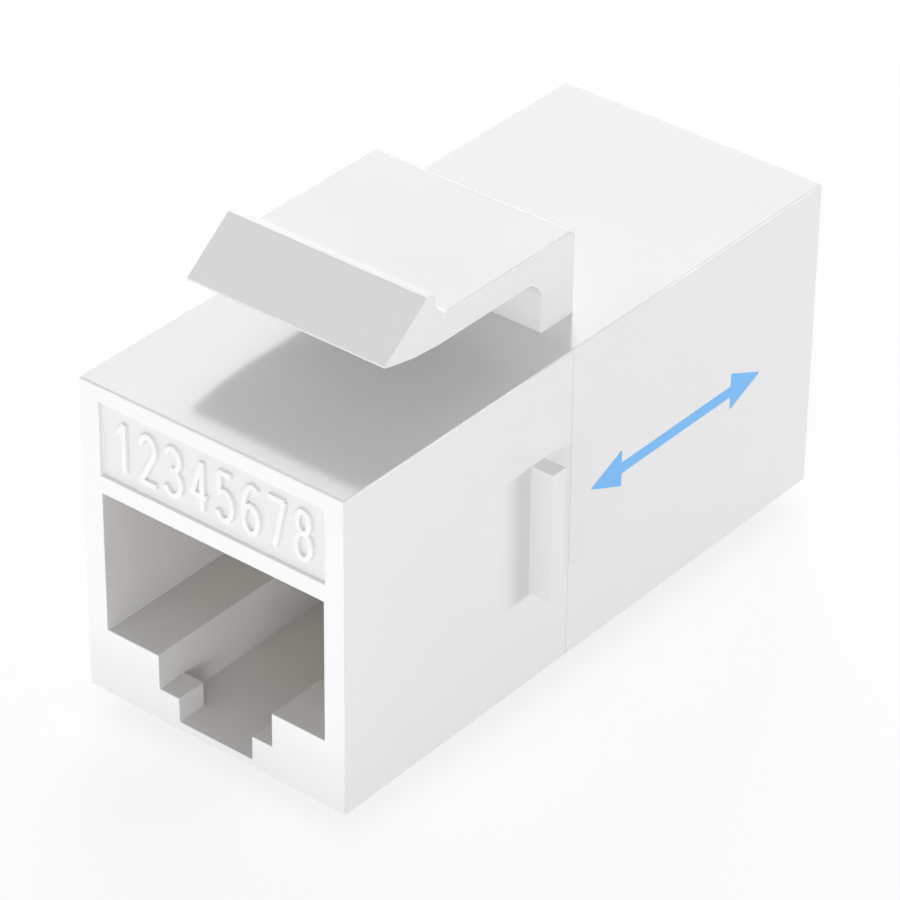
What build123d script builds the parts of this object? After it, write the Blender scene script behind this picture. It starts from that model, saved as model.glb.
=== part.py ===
from build123d import *
from math import atan2, cos, degrees, hypot, sin, sqrt, tan
import os

os.makedirs("parts", exist_ok=True)

# Inline network coupler that snaps into a keystone opening: two housing halves, an
# eight-way port in each end, and a circuit board across the middle that joins them.
# Millimetres. X runs across the body, Y from the front face to the rear face, Z up.
# Heights in the model are measured from the underside of the body.

# Body and housing walls
BODY_WIDTH = 14.5
BODY_DEPTH = 33.0
BODY_HEIGHT = 15.9
EDGE_ROUND = 0.1
FRONT_DEPTH = 15.0          # front face to the line where the halves meet
SPLIT_BEVEL = 0.08
FACE_WALL = 1.3
TOP_WALL = 1.2
SPIGOT_LENGTH = 2.2
SPIGOT_WALL = 0.5
SPIGOT_CLEARANCE = 0.04

# Port, the same in both ends, with the latch channel of the plug at the bottom
PORT_WIDTH = 12.3
PORT_HEIGHT = 7.1           # from the shoulders to the ceiling
PORT_DEPTH = 11.4           # face to the wall that closes the port
SHOULDER_HEIGHT = 3.4
CHANNEL_WIDTH = 6.4
CHANNEL_FLOOR = 0.42
EAR_REACH = 1.13
EAR_RISE = 1.23
EAR_DEPTH = 1.6

# Label recess over the front port
LABEL_DEPTH = 0.25
LABEL_SIDE_MARGIN = 1.05
LABEL_TOP_MARGIN = 0.84
LABEL_BOTTOM_MARGIN = 0.88

# Spring latch on top, which snaps behind the upper edge of the panel opening
LATCH_WIDTH = 10.8
LATCH_GAP = 2.7             # body top to the underside of the arm
ARM_THICKNESS = 1.42
ARM_END_ROUND = 0.3
FOOT_SETBACK = 0.08         # behind the split line
FOOT_THICKNESS = 2.2
FOOT_ROOT_RADIUS = 1.1
FOOT_EMBED = 0.3
CATCH_DEPTH = 8.03          # front face to the catch walls of latch and lug
CATCH_ROOT_RADIUS = 0.85
CREST_RISE = 1.24
CREST_LENGTH = 0.6
CREST_FALL = 0.1
RAMP_LENGTH = 2.74
TIP_DROP = 0.85             # arm top down to the tip of the ramp
TIP_ROUND = 0.07
BELLY_LENGTH = 1.95
BELLY_SHARE = 0.81          # of the line up to the tip that the belly's arc takes
LATCH_EDGE = 0.05

# Fixed lug under the front half, which hooks over the lower edge of the opening
LUG_WIDTH = 9.0
LUG_DROP = 1.0
LUG_LENGTH = 2.6
LUG_LAND = 0.9

# Stop rib on each side, which meets the back of the panel
RIB_SETBACK = 12.22
RIB_THICKNESS = 0.9
RIB_HEIGHT = 6.58
RIB_REACH = 1.2
RIB_LIFT = 0.15             # middle of the rib over the middle of the body
RIB_EDGE = 0.06

# Contact carrier: a block that closes the port, and a tongue over it
SEAT_CLEARANCE = 0.05
TONGUE_THICKNESS = 1.75
RAIL_REACH = 0.4
NOSE_SETBACK = 1.5          # inner side of the face wall to the middle of the nose
GROOVE_DEPTH = 0.55
COMB_DEPTH = 1.3
COMB_RISE = 4.2             # shoulders to the underside of the comb
COMB_MARGIN = 0.45
COMB_CLEARANCE = 0.09
TAIL_POCKET_DEPTH = 0.9
TAIL_POCKET_MARGIN = 0.6

# Spring contacts
CONTACT_COUNT = 8
CONTACT_PITCH = 1.02
WIRE_WIDTH = 0.42
WIRE_THICKNESS = 0.3
WIRE_CLEARANCE = 0.03
BEND_RADIUS = 0.5
TIP_RISE = 4.5              # shoulders to the free end of a contact
TIP_SETBACK = 0.35
RISER_SETBACKS = (1.35, 2.3)
TAIL_RISES = (5.9, 2.9)     # shoulders to the two rows of tails
TAIL_REACH = 0.6

# Circuit board
BOARD_THICKNESS = 1.0
BOARD_HOLE_RADIUS = 0.31

# Places that follow from the sizes above
FACE_Y = -BODY_DEPTH / 2
SPLIT_Y = FACE_Y + FRONT_DEPTH
CATCH_Y = FACE_Y + CATCH_DEPTH
CEILING = SHOULDER_HEIGHT + PORT_HEIGHT
CHAMBER_TOP = BODY_HEIGHT - TOP_WALL
CHAMBER_Y = FACE_Y + FACE_WALL
BLOCK_Y = FACE_Y + PORT_DEPTH
BOARD_Y = -BOARD_THICKNESS / 2
TONGUE_TOP = CEILING + TONGUE_THICKNESS
GROOVE_FLOOR = TONGUE_TOP - GROOVE_DEPTH
NOSE_Y = CHAMBER_Y + NOSE_SETBACK
NOSE_RADIUS = (GROOVE_FLOOR - CEILING) / 2
COMB_WIDTH = CONTACT_COUNT * CONTACT_PITCH + COMB_MARGIN
WIRE_OFFSET = WIRE_THICKNESS / 2 + WIRE_CLEARANCE


def column(width, low, high):
    """A rectangle across the body between two heights, in the X-Z plane."""
    return Pos(0, (low + high) / 2) * Rectangle(width, high - low)


def along_depth(section, front, rear):
    """Extrude an X-Z section from one depth to another."""
    return Pos(0, rear, 0) * extrude(Plane.XZ * section, amount=rear - front)


def across(profile, width, middle=0.0):
    """Extrude a Y-Z profile sideways to a width, about a middle."""
    return Pos(middle, 0, 0) * extrude(Plane.YZ * profile, amount=width / 2, both=True)


def turned(shape):
    """The same shape at the rear end of the coupler."""
    return Rot(0, 0, 180) * shape


def contact_x(index):
    """Place across the port of a contact, counted from 0."""
    return (index - (CONTACT_COUNT - 1) / 2) * CONTACT_PITCH


def port_section(gap=0.0):
    """The port and its latch channel, with every wall moved in by a gap."""
    port = column(PORT_WIDTH - 2 * gap, SHOULDER_HEIGHT + gap, CEILING)
    channel = column(CHANNEL_WIDTH - 2 * gap, CHANNEL_FLOOR + gap, CEILING)
    return port + channel


def mouth_section():
    """The port at the face, where two ears stand into the channel."""
    ear = Rectangle(EAR_REACH, EAR_RISE, align=(Align.MIN, Align.MIN))
    left = Pos(-CHANNEL_WIDTH / 2, CHANNEL_FLOOR) * ear
    right = Pos(CHANNEL_WIDTH / 2 - EAR_REACH, CHANNEL_FLOOR) * ear
    return port_section() - left - right


def cavity(depth):
    """All that is hollow in one half of the body, from its face to the split."""
    rear = FACE_Y + depth
    throat = FACE_Y + EAR_DEPTH
    rails = column(
        PORT_WIDTH + 2 * RAIL_REACH + 2 * SEAT_CLEARANCE,
        CEILING - SEAT_CLEARANCE,
        TONGUE_TOP + SEAT_CLEARANCE,
    )
    hollow = along_depth(mouth_section(), FACE_Y, throat)
    hollow += along_depth(port_section(), throat, rear)
    hollow += along_depth(column(PORT_WIDTH, CEILING, CHAMBER_TOP), CHAMBER_Y, rear)
    hollow += along_depth(rails, CHAMBER_Y, rear)
    return hollow


def half_body(depth):
    """One half of the outer block, rounded outside and finely bevelled at the split."""
    block = Pos(0, FACE_Y + depth / 2, BODY_HEIGHT / 2) * Box(BODY_WIDTH, depth, BODY_HEIGHT)
    split_edges = block.edges().group_by(Axis.Y)[-1]
    outer_edges = [edge for edge in block.edges() if edge not in split_edges]
    block = fillet(outer_edges, EDGE_ROUND)
    return chamfer(block.edges().group_by(Axis.Y)[-1], SPLIT_BEVEL)


def spigot_outline(gap=0.0):
    """Outside of the spigot that joins the halves, grown by a gap."""
    wall = SPIGOT_WALL + gap
    return column(PORT_WIDTH + 2 * wall, SHOULDER_HEIGHT - wall, CHAMBER_TOP + wall)


def spigot():
    """Collar behind the front half, slotted where the carrier's rails slide in."""
    inside = port_section() + column(PORT_WIDTH, CEILING, CHAMBER_TOP)
    rail_slots = column(BODY_WIDTH, CEILING - SEAT_CLEARANCE, TONGUE_TOP + SEAT_CLEARANCE)
    ring = spigot_outline() - inside - rail_slots
    return along_depth(ring, SPLIT_Y, SPLIT_Y + SPIGOT_LENGTH)


def stop_rib():
    """Upright rib with its root inside the side wall, on the right."""
    reach = RIB_REACH + EDGE_ROUND
    rib = Box(reach, RIB_THICKNESS, RIB_HEIGHT, align=(Align.MIN, Align.MIN, Align.CENTER))
    rib = chamfer(rib.faces().sort_by(Axis.X)[-1].edges(), RIB_EDGE)
    return Pos(BODY_WIDTH / 2 - EDGE_ROUND, FACE_Y + RIB_SETBACK, BODY_HEIGHT / 2 + RIB_LIFT) * rib


def lug():
    """Fixed hook under the body: ramp, land and upright catch wall."""
    outline = Polyline(
        (CATCH_Y, CHANNEL_FLOOR / 2),
        (CATCH_Y, -LUG_DROP),
        (CATCH_Y - LUG_LAND, -LUG_DROP),
        (CATCH_Y - LUG_LENGTH, 0),
        (CATCH_Y - LUG_LENGTH, CHANNEL_FLOOR / 2),
        close=True,
    )
    return across(make_face(outline), LUG_WIDTH)


def latch():
    """Spring latch: foot behind the split, arm over the front half, wedge at its end."""
    underside = BODY_HEIGHT + LATCH_GAP
    arm_top = underside + ARM_THICKNESS
    crest = arm_top + CREST_RISE
    root = BODY_HEIGHT - FOOT_EMBED
    foot_front = SPLIT_Y + FOOT_SETBACK
    foot_rear = foot_front + FOOT_THICKNESS
    crest_front = CATCH_Y - CREST_LENGTH
    tip = crest_front - RAMP_LENGTH
    belly_rise = ARM_THICKNESS - TIP_DROP
    belly_turn = atan2(belly_rise, BELLY_LENGTH)
    belly_radius = BELLY_SHARE * hypot(BELLY_LENGTH, belly_rise) / tan(belly_turn / 2)
    corners = (
        (foot_front, root, 0),
        (foot_front, underside, FOOT_ROOT_RADIUS),
        (tip + BELLY_LENGTH, underside, belly_radius),
        (tip, arm_top - TIP_DROP, TIP_ROUND),
        (crest_front, crest, TIP_ROUND),
        (CATCH_Y, crest - CREST_FALL, TIP_ROUND),
        (CATCH_Y, arm_top, CATCH_ROOT_RADIUS),
        (foot_rear, arm_top, ARM_END_ROUND),
        (foot_rear, root, 0),
    )
    points = [(y, z) for y, z, radius in corners]
    radii = [radius for y, z, radius in corners]
    body = across(make_face(FilletPolyline(*points, radius=radii, close=True)), LATCH_WIDTH)
    sides = body.faces().filter_by(Axis.X)
    rims = [edge for edge in sides.edges() if edge.center().Z > BODY_HEIGHT]
    return chamfer(rims, LATCH_EDGE)


def label_recess():
    """Shallow field on the front face between the port and the top edge."""
    field = column(
        BODY_WIDTH - 2 * LABEL_SIDE_MARGIN,
        CEILING + LABEL_BOTTOM_MARGIN,
        BODY_HEIGHT - LABEL_TOP_MARGIN,
    )
    return along_depth(field, FACE_Y, FACE_Y + LABEL_DEPTH)


def front_housing():
    """Front half: face, port, stop ribs, lug and the spigot that joins the halves."""
    housing = half_body(FRONT_DEPTH) + spigot()
    housing += stop_rib() + mirror(stop_rib(), about=Plane.YZ)
    housing += lug()
    return housing - cavity(FRONT_DEPTH) - label_recess()


def rear_housing():
    """Rear half: port in the rear face, socket for the spigot, and the spring latch."""
    depth = BODY_DEPTH - FRONT_DEPTH
    socket_end = SPLIT_Y + SPIGOT_LENGTH + SPIGOT_CLEARANCE
    socket = along_depth(spigot_outline(SPIGOT_CLEARANCE), SPLIT_Y, socket_end)
    return turned(half_body(depth)) - turned(cavity(depth)) - socket + latch()


def wire_route(row):
    """Centre line of a contact, from its tail in the board round the nose to its tip."""
    riser_y = BOARD_Y - RISER_SETBACKS[row]
    tail_z = SHOULDER_HEIGHT + TAIL_RISES[row]
    hairpin = NOSE_RADIUS + WIRE_OFFSET
    nose_z = CEILING + NOSE_RADIUS
    top_z = nose_z + hairpin
    tip_y = BLOCK_Y - TIP_SETBACK
    tip_z = SHOULDER_HEIGHT + TIP_RISE
    # The beam is the tangent from the free end to the bend round the nose
    reach = hypot(tip_y - NOSE_Y, tip_z - nose_z)
    beam = sqrt(reach ** 2 - hairpin ** 2)
    slope = atan2(tip_z - nose_z, tip_y - NOSE_Y) + atan2(hairpin, beam)
    leave = (NOSE_Y + hairpin * sin(slope), nose_z - hairpin * cos(slope))
    lead = FilletPolyline(
        (-BOARD_Y + TAIL_REACH, tail_z),
        (riser_y, tail_z),
        (riser_y, top_z),
        (NOSE_Y, top_z),
        radius=BEND_RADIUS,
    )
    bend = JernArc((NOSE_Y, top_z), (-1, 0), hairpin, 180 + degrees(slope))
    return lead + bend + Line(leave, (tip_y, tip_z))


def contact(index):
    """Flat spring wire of one contact of the front port."""
    route = Plane.YZ * wire_route(index % 2)
    start = route @ 0
    section = Plane(origin=start, x_dir=(1, 0, 0), z_dir=route % 0)
    wire = sweep(section * Rectangle(WIRE_WIDTH, WIRE_THICKNESS), path=route)
    return Pos(contact_x(index), 0, 0) * wire


def wire_slot(index):
    """Slot in the carrier for one contact, open to the top and to the board."""
    row = index % 2
    riser_front = BOARD_Y - RISER_SETBACKS[row] - WIRE_OFFSET
    tail_floor = SHOULDER_HEIGHT + TAIL_RISES[row] - WIRE_OFFSET
    open_top = TONGUE_TOP + GROOVE_DEPTH
    outline = Polyline(
        (CHAMBER_Y, open_top),
        (CHAMBER_Y, GROOVE_FLOOR),
        (riser_front - BEND_RADIUS, GROOVE_FLOOR),
        (riser_front, GROOVE_FLOOR - BEND_RADIUS),
        (riser_front, tail_floor),
        (0, tail_floor),
        (0, open_top),
        close=True,
    )
    return across(make_face(outline), WIRE_WIDTH + 2 * WIRE_CLEARANCE, contact_x(index))


def comb_slot(index):
    """Gap between two comb teeth, where the free end of a contact moves."""
    front = BLOCK_Y - COMB_DEPTH
    slot = column(WIRE_WIDTH + 2 * COMB_CLEARANCE, SHOULDER_HEIGHT, CEILING)
    return Pos(contact_x(index), 0, 0) * along_depth(slot, front, BLOCK_Y)


def tongue_middle():
    """Middle of the tongue in the Y-Z plane, with a full round nose for the wires."""
    nose_z = CEILING + NOSE_RADIUS
    outline = Line((BLOCK_Y, CEILING), (NOSE_Y, CEILING))
    outline += ThreePointArc(
        (NOSE_Y, CEILING), (NOSE_Y - NOSE_RADIUS, nose_z), (NOSE_Y, GROOVE_FLOOR)
    )
    outline += Polyline(
        (NOSE_Y, GROOVE_FLOOR), (NOSE_Y, TONGUE_TOP), (BLOCK_Y, TONGUE_TOP), (BLOCK_Y, CEILING)
    )
    return make_face(outline)


def carrier():
    """Front contact carrier: block, tongue with side rails, comb and wire slots."""
    block = along_depth(port_section(SEAT_CLEARANCE), BLOCK_Y, BOARD_Y)
    upper = column(PORT_WIDTH - 2 * SEAT_CLEARANCE, CEILING, TONGUE_TOP)
    block += along_depth(upper, BLOCK_Y, BOARD_Y)
    rail_width = (PORT_WIDTH - COMB_WIDTH) / 2 + RAIL_REACH
    rail = Pos((COMB_WIDTH + rail_width) / 2, (CEILING + TONGUE_TOP) / 2) * Rectangle(
        rail_width, TONGUE_THICKNESS
    )
    rails = rail + mirror(rail, about=Plane.YZ)
    comb = column(COMB_WIDTH, SHOULDER_HEIGHT + COMB_RISE, CEILING)
    shape = block + along_depth(rails, CHAMBER_Y + SEAT_CLEARANCE, BOARD_Y)
    shape += across(tongue_middle(), COMB_WIDTH)
    shape += along_depth(comb, BLOCK_Y - COMB_DEPTH, BLOCK_Y)
    tails_low = SHOULDER_HEIGHT + min(TAIL_RISES) - TAIL_POCKET_MARGIN
    tails_high = SHOULDER_HEIGHT + max(TAIL_RISES) + TAIL_POCKET_MARGIN
    pocket = column(COMB_WIDTH, tails_low, tails_high)
    shape -= along_depth(pocket, BOARD_Y - TAIL_POCKET_DEPTH, BOARD_Y)
    for index in range(CONTACT_COUNT):
        shape -= wire_slot(index)
        shape -= comb_slot(index)
    return shape


def circuit_board():
    """Board across the middle, with a hole for the tail of every contact."""
    outline = column(
        PORT_WIDTH - 2 * SEAT_CLEARANCE,
        SHOULDER_HEIGHT + SEAT_CLEARANCE,
        CHAMBER_TOP - SEAT_CLEARANCE,
    )
    for rise in TAIL_RISES:
        for index in range(CONTACT_COUNT):
            outline -= Pos(contact_x(index), SHOULDER_HEIGHT + rise) * Circle(BOARD_HOLE_RADIUS)
    return along_depth(outline, BOARD_Y, -BOARD_Y)


def write(node, shape):
    """Write one node, with the lowest point of the whole coupler at height zero."""
    export_step(Pos(0, 0, LUG_DROP) * shape, f"parts/{node}.step")


write("front_housing", front_housing())
write("rear_housing", rear_housing())
write("front_contact_carrier", carrier())
write("rear_contact_carrier", turned(carrier()))
write("circuit_board", circuit_board())
for number in range(1, CONTACT_COUNT + 1):
    spring = contact(number - 1)
    write(f"front_contact_{number}", spring)
    write(f"rear_contact_{number}", turned(spring))
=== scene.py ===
import bmesh
import bpy
from math import atan2, cos, hypot, pi, radians, sin, sqrt, tan
from mathutils import Matrix, Vector


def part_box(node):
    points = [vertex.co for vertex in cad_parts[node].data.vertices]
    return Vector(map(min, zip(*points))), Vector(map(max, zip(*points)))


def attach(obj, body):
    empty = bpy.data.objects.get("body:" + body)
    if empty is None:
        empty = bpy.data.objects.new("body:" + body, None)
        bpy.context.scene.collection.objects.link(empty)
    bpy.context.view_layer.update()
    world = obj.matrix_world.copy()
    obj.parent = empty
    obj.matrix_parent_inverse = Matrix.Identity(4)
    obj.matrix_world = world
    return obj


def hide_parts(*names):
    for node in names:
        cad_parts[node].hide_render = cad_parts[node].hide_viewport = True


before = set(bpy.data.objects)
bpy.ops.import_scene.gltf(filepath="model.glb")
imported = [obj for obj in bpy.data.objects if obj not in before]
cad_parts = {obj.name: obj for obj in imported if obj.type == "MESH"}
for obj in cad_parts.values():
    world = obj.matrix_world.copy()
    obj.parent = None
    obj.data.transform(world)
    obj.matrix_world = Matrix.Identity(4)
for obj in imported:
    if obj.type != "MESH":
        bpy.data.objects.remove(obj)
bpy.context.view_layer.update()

bl_info = {
    "name": "Inline Coupler Looks",
    "version": (1, 0, 0),
    "blender": (4, 5, 0),
    "location": "View3D > Sidebar > Coupler",
    "description": "Models and finishes the pieces of a keystone inline coupler round its packed frame",
    "category": "Object",
}

MM = 0.001
BODY = "root"

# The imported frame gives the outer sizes
FRONT_LOW, FRONT_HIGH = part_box("front_housing")
REAR_LOW, REAR_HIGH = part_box("rear_housing")
FACE_Y = FRONT_LOW.y
REAR_Y = REAR_HIGH.y
SPIGOT_END = FRONT_HIGH.y
HALF_WIDTH = REAR_HIGH.x
UNDERSIDE = REAR_LOW.z
BODY_TOP = FRONT_HIGH.z
LUG_BOTTOM = FRONT_LOW.z
RIB_SIDE = FRONT_HIGH.x

OVERCUT = 0.5 * MM          # how far cutters and joined parts run past the faces that they meet
TOUCH = 0.01 * MM           # nearer than this, an edge or face lies on a plane
SAME_PLACE = 0.005 * MM     # nearer than this, a vertex is the corner that is looked for
MERGE = 0.002 * MM          # nearer than this, vertices become one
FLAT = radians(0.5)         # faces that turn less than this become one
SHARP = radians(20)         # edges that turn more than this are rounded
SMOOTH = radians(40)        # edges that turn less than this are shaded smooth
FACING = 0.99               # least part of a normal that counts as facing one way
ARC_STEP = radians(9)       # turn from point to point on rounded corners and bends
DIGIT_ARC_STEP = 12         # the same on the numbers, in degrees
LEVELS = 4                  # the strokes of the numbers start on so many levels in turn
LEVEL_STEP = 0.003 * MM
END_REACH = 0.35            # how far a stroke runs past its last point, in half widths


def arc(middle, radius, start, end):
    """Points along an arc in a number's box, one wide and one tall, between two angles in degrees."""
    steps = max(3, round(abs(end - start) / DIGIT_ARC_STEP))
    angles = [radians(start + (end - start) * step / steps) for step in range(steps + 1)]
    return [(middle[0] + radius[0] * cos(angle), middle[1] + radius[1] * sin(angle)) for angle in angles]


# The middle lines of the strokes of the numbers 1 to 8
DIGIT_LINES = (
    ([(0.22, 0.8), (0.6, 1.0)], [(0.6, 1.0), (0.6, 0.0)]),
    (arc((0.5, 0.74), (0.5, 0.26), 165, -22) + [(0.02, 0.04)], [(0.0, 0.0), (1.0, 0.0)]),
    (arc((0.45, 0.77), (0.49, 0.23), 155, -95), arc((0.44, 0.27), (0.56, 0.27), 95, -155)),
    ([(0.72, 1.0), (0.72, 0.0)], [(0.68, 0.98), (0.03, 0.3)], [(0.0, 0.28), (1.0, 0.28)]),
    (
        [(0.12, 1.0), (0.92, 1.0)],
        [(0.14, 0.98), (0.08, 0.54)],
        arc((0.45, 0.31), (0.55, 0.31), 135, -150),
    ),
    (
        arc((0.62, 0.45), (0.62, 0.55), 62, 180) + [(0.0, 0.29)],
        arc((0.5, 0.29), (0.5, 0.29), 185, -5),
        arc((0.5, 0.29), (0.5, 0.29), -185, 5),
    ),
    ([(0.0, 1.0), (1.0, 1.0)], [(0.98, 0.98), (0.34, 0.0)]),
    (
        arc((0.5, 0.77), (0.42, 0.23), 85, 275),
        arc((0.5, 0.77), (0.42, 0.23), 95, -95),
        arc((0.5, 0.27), (0.5, 0.27), 85, 275),
        arc((0.5, 0.27), (0.5, 0.27), 95, -95),
    ),
)

# Moulded plastics and the print: name, part of the colour left in clouds, roughness, grain size and depth
PLASTICS = {
    "shell": ("White shell", 0.965, 0.14, 0.07 * MM, 0.3),
    # The matt field's darker colour is painted shade of the label recess; its higher roughness is a real matt
    # finish.
    "field": ("Matt field", 0.965, 0.45, 0.05 * MM, 1.2),
    # The insert's dark grey is partly the carriers' own colour and partly painted shade deep in the ports.
    "insert": ("Grey insert", 0.9, 0.5, 0.09 * MM, 1.4),
    "ink": ("Printed ink", 0.9, 0.42, 0.05 * MM, 1.6),
}

# Strip lamps on the ring: azimuth, half the width, and the heights where each starts and ends, in degrees
STRIPS = {
    "front": (0, 45, 0, 11.5),
    "side": (35, 12, 0, 11.5),
    "corner": (135, 15, 0, 11.5),
    "left": (270, 45, 11.5, 30),
}

# Soft boxes opposite the camera: the heights where each starts and ends, in degrees
SOFT_BOXES = {
    "edge": (7, 21),
    "low": (22, 28),
    "middle": (28, 33),
    "high": (33, 40),
    "highest": (40, 55),
}


def length(name, description, millimetres):
    """A size that a user may change, written in millimetres."""
    return bpy.props.FloatProperty(
        name=name, description=description, default=millimetres * MM, min=0.0, unit="LENGTH", precision=4
    )


def angle(name, description, degrees):
    """An angle that a user may change, written in degrees."""
    return bpy.props.FloatProperty(
        name=name, description=description, default=radians(degrees), subtype="ANGLE"
    )


def tint(name, description, red, green, blue):
    """A colour that a user may change, in linear light."""
    return bpy.props.FloatVectorProperty(
        name=name, description=description, default=(red, green, blue), size=3, min=0, max=1, subtype="COLOR"
    )


def share(name, description, default, highest=1.0):
    """A plain number that a user may change."""
    return bpy.props.FloatProperty(name=name, description=description, default=default, min=0.0, max=highest)


def brightness(name, lamp, default):
    """The brightness of a lamp, which a user may change."""
    return share(name, f"Brightness of the {lamp}", default, 20.0)


class HousingSizes(bpy.types.PropertyGroup):
    """Sizes of the two halves of the body"""

    front_depth: length("Front depth", "Front face to the line where the halves meet", 15.0)
    edge_round: length("Edge round", "Radius of the outer edges", 0.1)
    split_bevel: length("Split bevel", "Bevel on both sides of the line between the halves", 0.08)
    split_top: length("Split bevel on top", "The same on top, where the halves meet without a line", 0.0)
    fine_round: length("Fine round", "Radius of the edges of the port, label field and ribs", 0.05)
    face_wall: length("Face wall", "Thickness of the wall round each port", 1.3)
    top_wall: length("Top wall", "Thickness of the top wall", 1.2)
    spigot_wall: length("Spigot wall", "Thickness of the collar that joins the halves", 0.5)
    spigot_clearance: length("Spigot clearance", "Gap between the collar and its socket", 0.04)
    label_depth: length("Label depth", "Depth of the field over the front port", 0.25)
    label_side_margin: length("Label side margin", "Field to the side of the body", 1.05)
    label_top_margin: length("Label top margin", "Field to the top of the body", 0.84)
    label_bottom_margin: length("Label bottom margin", "Port to the field", 0.88)
    rib_setback: length("Rib setback", "Front face to the front of each stop rib", 12.22)
    rib_thickness: length("Rib thickness", "Thickness of each stop rib", 0.9)
    rib_height: length("Rib height", "Height of each stop rib", 6.58)
    rib_lift: length("Rib lift", "Middle of the ribs over the middle of the body", 0.15)
    lug_width: length("Lug width", "Width of the fixed lug under the front half", 9.0)
    lug_length: length("Lug length", "Length of the fixed lug with its ramp", 2.6)
    lug_land: length("Lug land", "Flat length at the bottom of the lug", 0.9)


class PortSizes(bpy.types.PropertyGroup):
    """Sizes of the port, the same in both ends"""

    width: length("Width", "Clear width of the port", 12.3)
    height: length("Height", "Shoulders to the ceiling", 7.1)
    depth: length("Depth", "Face to the wall that closes the port", 11.4)
    shoulder_height: length("Shoulder height", "Underside of the body to the shoulders", 3.4)
    channel_width: length("Channel width", "Width of the latch channel", 6.4)
    channel_floor: length("Channel floor", "Thickness of the floor under the channel", 0.42)
    ear_reach: length("Ear reach", "How far each ear stands into the channel", 1.13)
    ear_rise: length("Ear rise", "Height of each ear", 1.23)
    ear_depth: length("Ear depth", "Depth of each ear from the face", 1.6)


class LatchSizes(bpy.types.PropertyGroup):
    """Sizes of the spring latch on top"""

    width: length("Width", "Width of the latch", 10.8)
    gap: length("Gap", "Top of the body to the underside of the arm", 2.7)
    arm: length("Arm", "Thickness of the arm", 1.42)
    end_round: length("End round", "Radius at the rear end of the arm", 0.3)
    foot_setback: length("Foot setback", "Split line to the foot", 0.08)
    foot: length("Foot", "Thickness of the foot", 2.2)
    foot_root: length("Foot root", "Hollow radius between foot and arm", 1.1)
    catch_depth: length("Catch depth", "Front face to the catch wall", 8.03)
    catch_root: length("Catch root", "Hollow radius between catch wall and arm", 0.85)
    crest_length: length("Crest length", "Length of the crest over the catch wall", 0.6)
    crest_rise: length("Crest rise", "Top of the arm up to the crest", 1.24)
    crest_fall: length("Crest fall", "Fall of the crest towards the catch wall", 0.1)
    ramp: length("Ramp", "Length of the ramp from the crest to the tip", 2.74)
    tip_drop: length("Tip drop", "Top of the arm down to the tip of the ramp", 0.85)
    tip_round: length("Tip round", "Radius of the sharp corners", 0.07)
    belly: length("Belly", "Length of the bellied underside behind the tip", 1.95)
    belly_share: share("Belly share", "Part of the line up to the tip that the belly's arc takes", 0.81)
    edge_round: length("Edge round", "Radius of the side edges", 0.05)


class CarrierSizes(bpy.types.PropertyGroup):
    """Sizes of the contact carriers"""

    clearance: length("Clearance", "Gap round the carrier in its housing", 0.05)
    tongue: length("Tongue", "Thickness of the tongue over the port", 1.75)
    rail_reach: length("Rail reach", "How far the side rails stand into the walls", 0.4)
    nose_setback: length("Nose setback", "Inner side of the face wall to the middle of the nose", 1.5)
    groove_depth: length("Groove depth", "Depth of the wire grooves in the tongue", 0.55)
    board: length("Board", "Thickness of the circuit board", 1.0)
    edge_round: length("Edge round", "Radius of the moulded edges", 0.04)


class ContactSizes(bpy.types.PropertyGroup):
    """Sizes of the spring contacts"""

    count: bpy.props.IntProperty(name="Count", description="Contacts in each port", default=8, min=1)
    pitch: length("Pitch", "Distance from contact to contact", 1.02)
    width: length("Width", "Width of each wire", 0.42)
    thickness: length("Thickness", "Thickness of each wire", 0.3)
    clearance: length("Clearance", "Gap between a wire and its slot", 0.03)
    bend: length("Bend", "Radius of the bends at the middle of the wire", 0.5)
    tip_rise: length("Tip rise", "Shoulders to the free end", 4.5)
    tip_setback: length("Tip setback", "Block to the free end", 0.35)
    near_riser: length("Near riser", "Board to the riser of the upper row", 1.35)
    far_riser: length("Far riser", "Board to the riser of the lower row", 2.3)
    upper_tail: length("Upper tail", "Shoulders to the upper row of tails", 5.9)
    lower_tail: length("Lower tail", "Shoulders to the lower row of tails", 2.9)
    tail_reach: length("Tail reach", "Tail beyond the board", 0.6)
    edge_round: length("Edge round", "Radius along the wire's edges", 0.05)


class MarkSizes(bpy.types.PropertyGroup):
    """Sizes of the raised numbers and the printed arrow"""

    digit_height: length("Digit height", "Height of the numbers", 2.6)
    digit_width: length("Digit width", "Width of a number", 1.05)
    digit_pitch: length("Digit pitch", "Distance between the middles of the numbers", 1.42)
    digit_stroke: length("Digit stroke", "Width of their strokes", 0.27)
    digit_rise: length("Digit rise", "How far the numbers stand out of their field", 0.16)
    digit_round: length("Digit round", "Radius along the top of their strokes", 0.03)
    arrow_length: length("Arrow length", "Length of the printed arrow", 12.4)
    arrow_width: length("Arrow width", "Width of its heads", 1.9)
    arrow_shaft: length("Arrow shaft", "Width of its shaft", 0.55)
    arrow_head: length("Arrow head", "Length of each head", 2.2)
    arrow_round: length("Arrow round", "Radius of its corners", 0.06)
    arrow_setback: length("Arrow setback", "Front face to the middle of the arrow", 22.65)
    arrow_height: length("Arrow height", "Underside of the body to the middle of the arrow", 8.0)
    ink: length("Ink", "Thickness of the print", 0.015)


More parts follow.
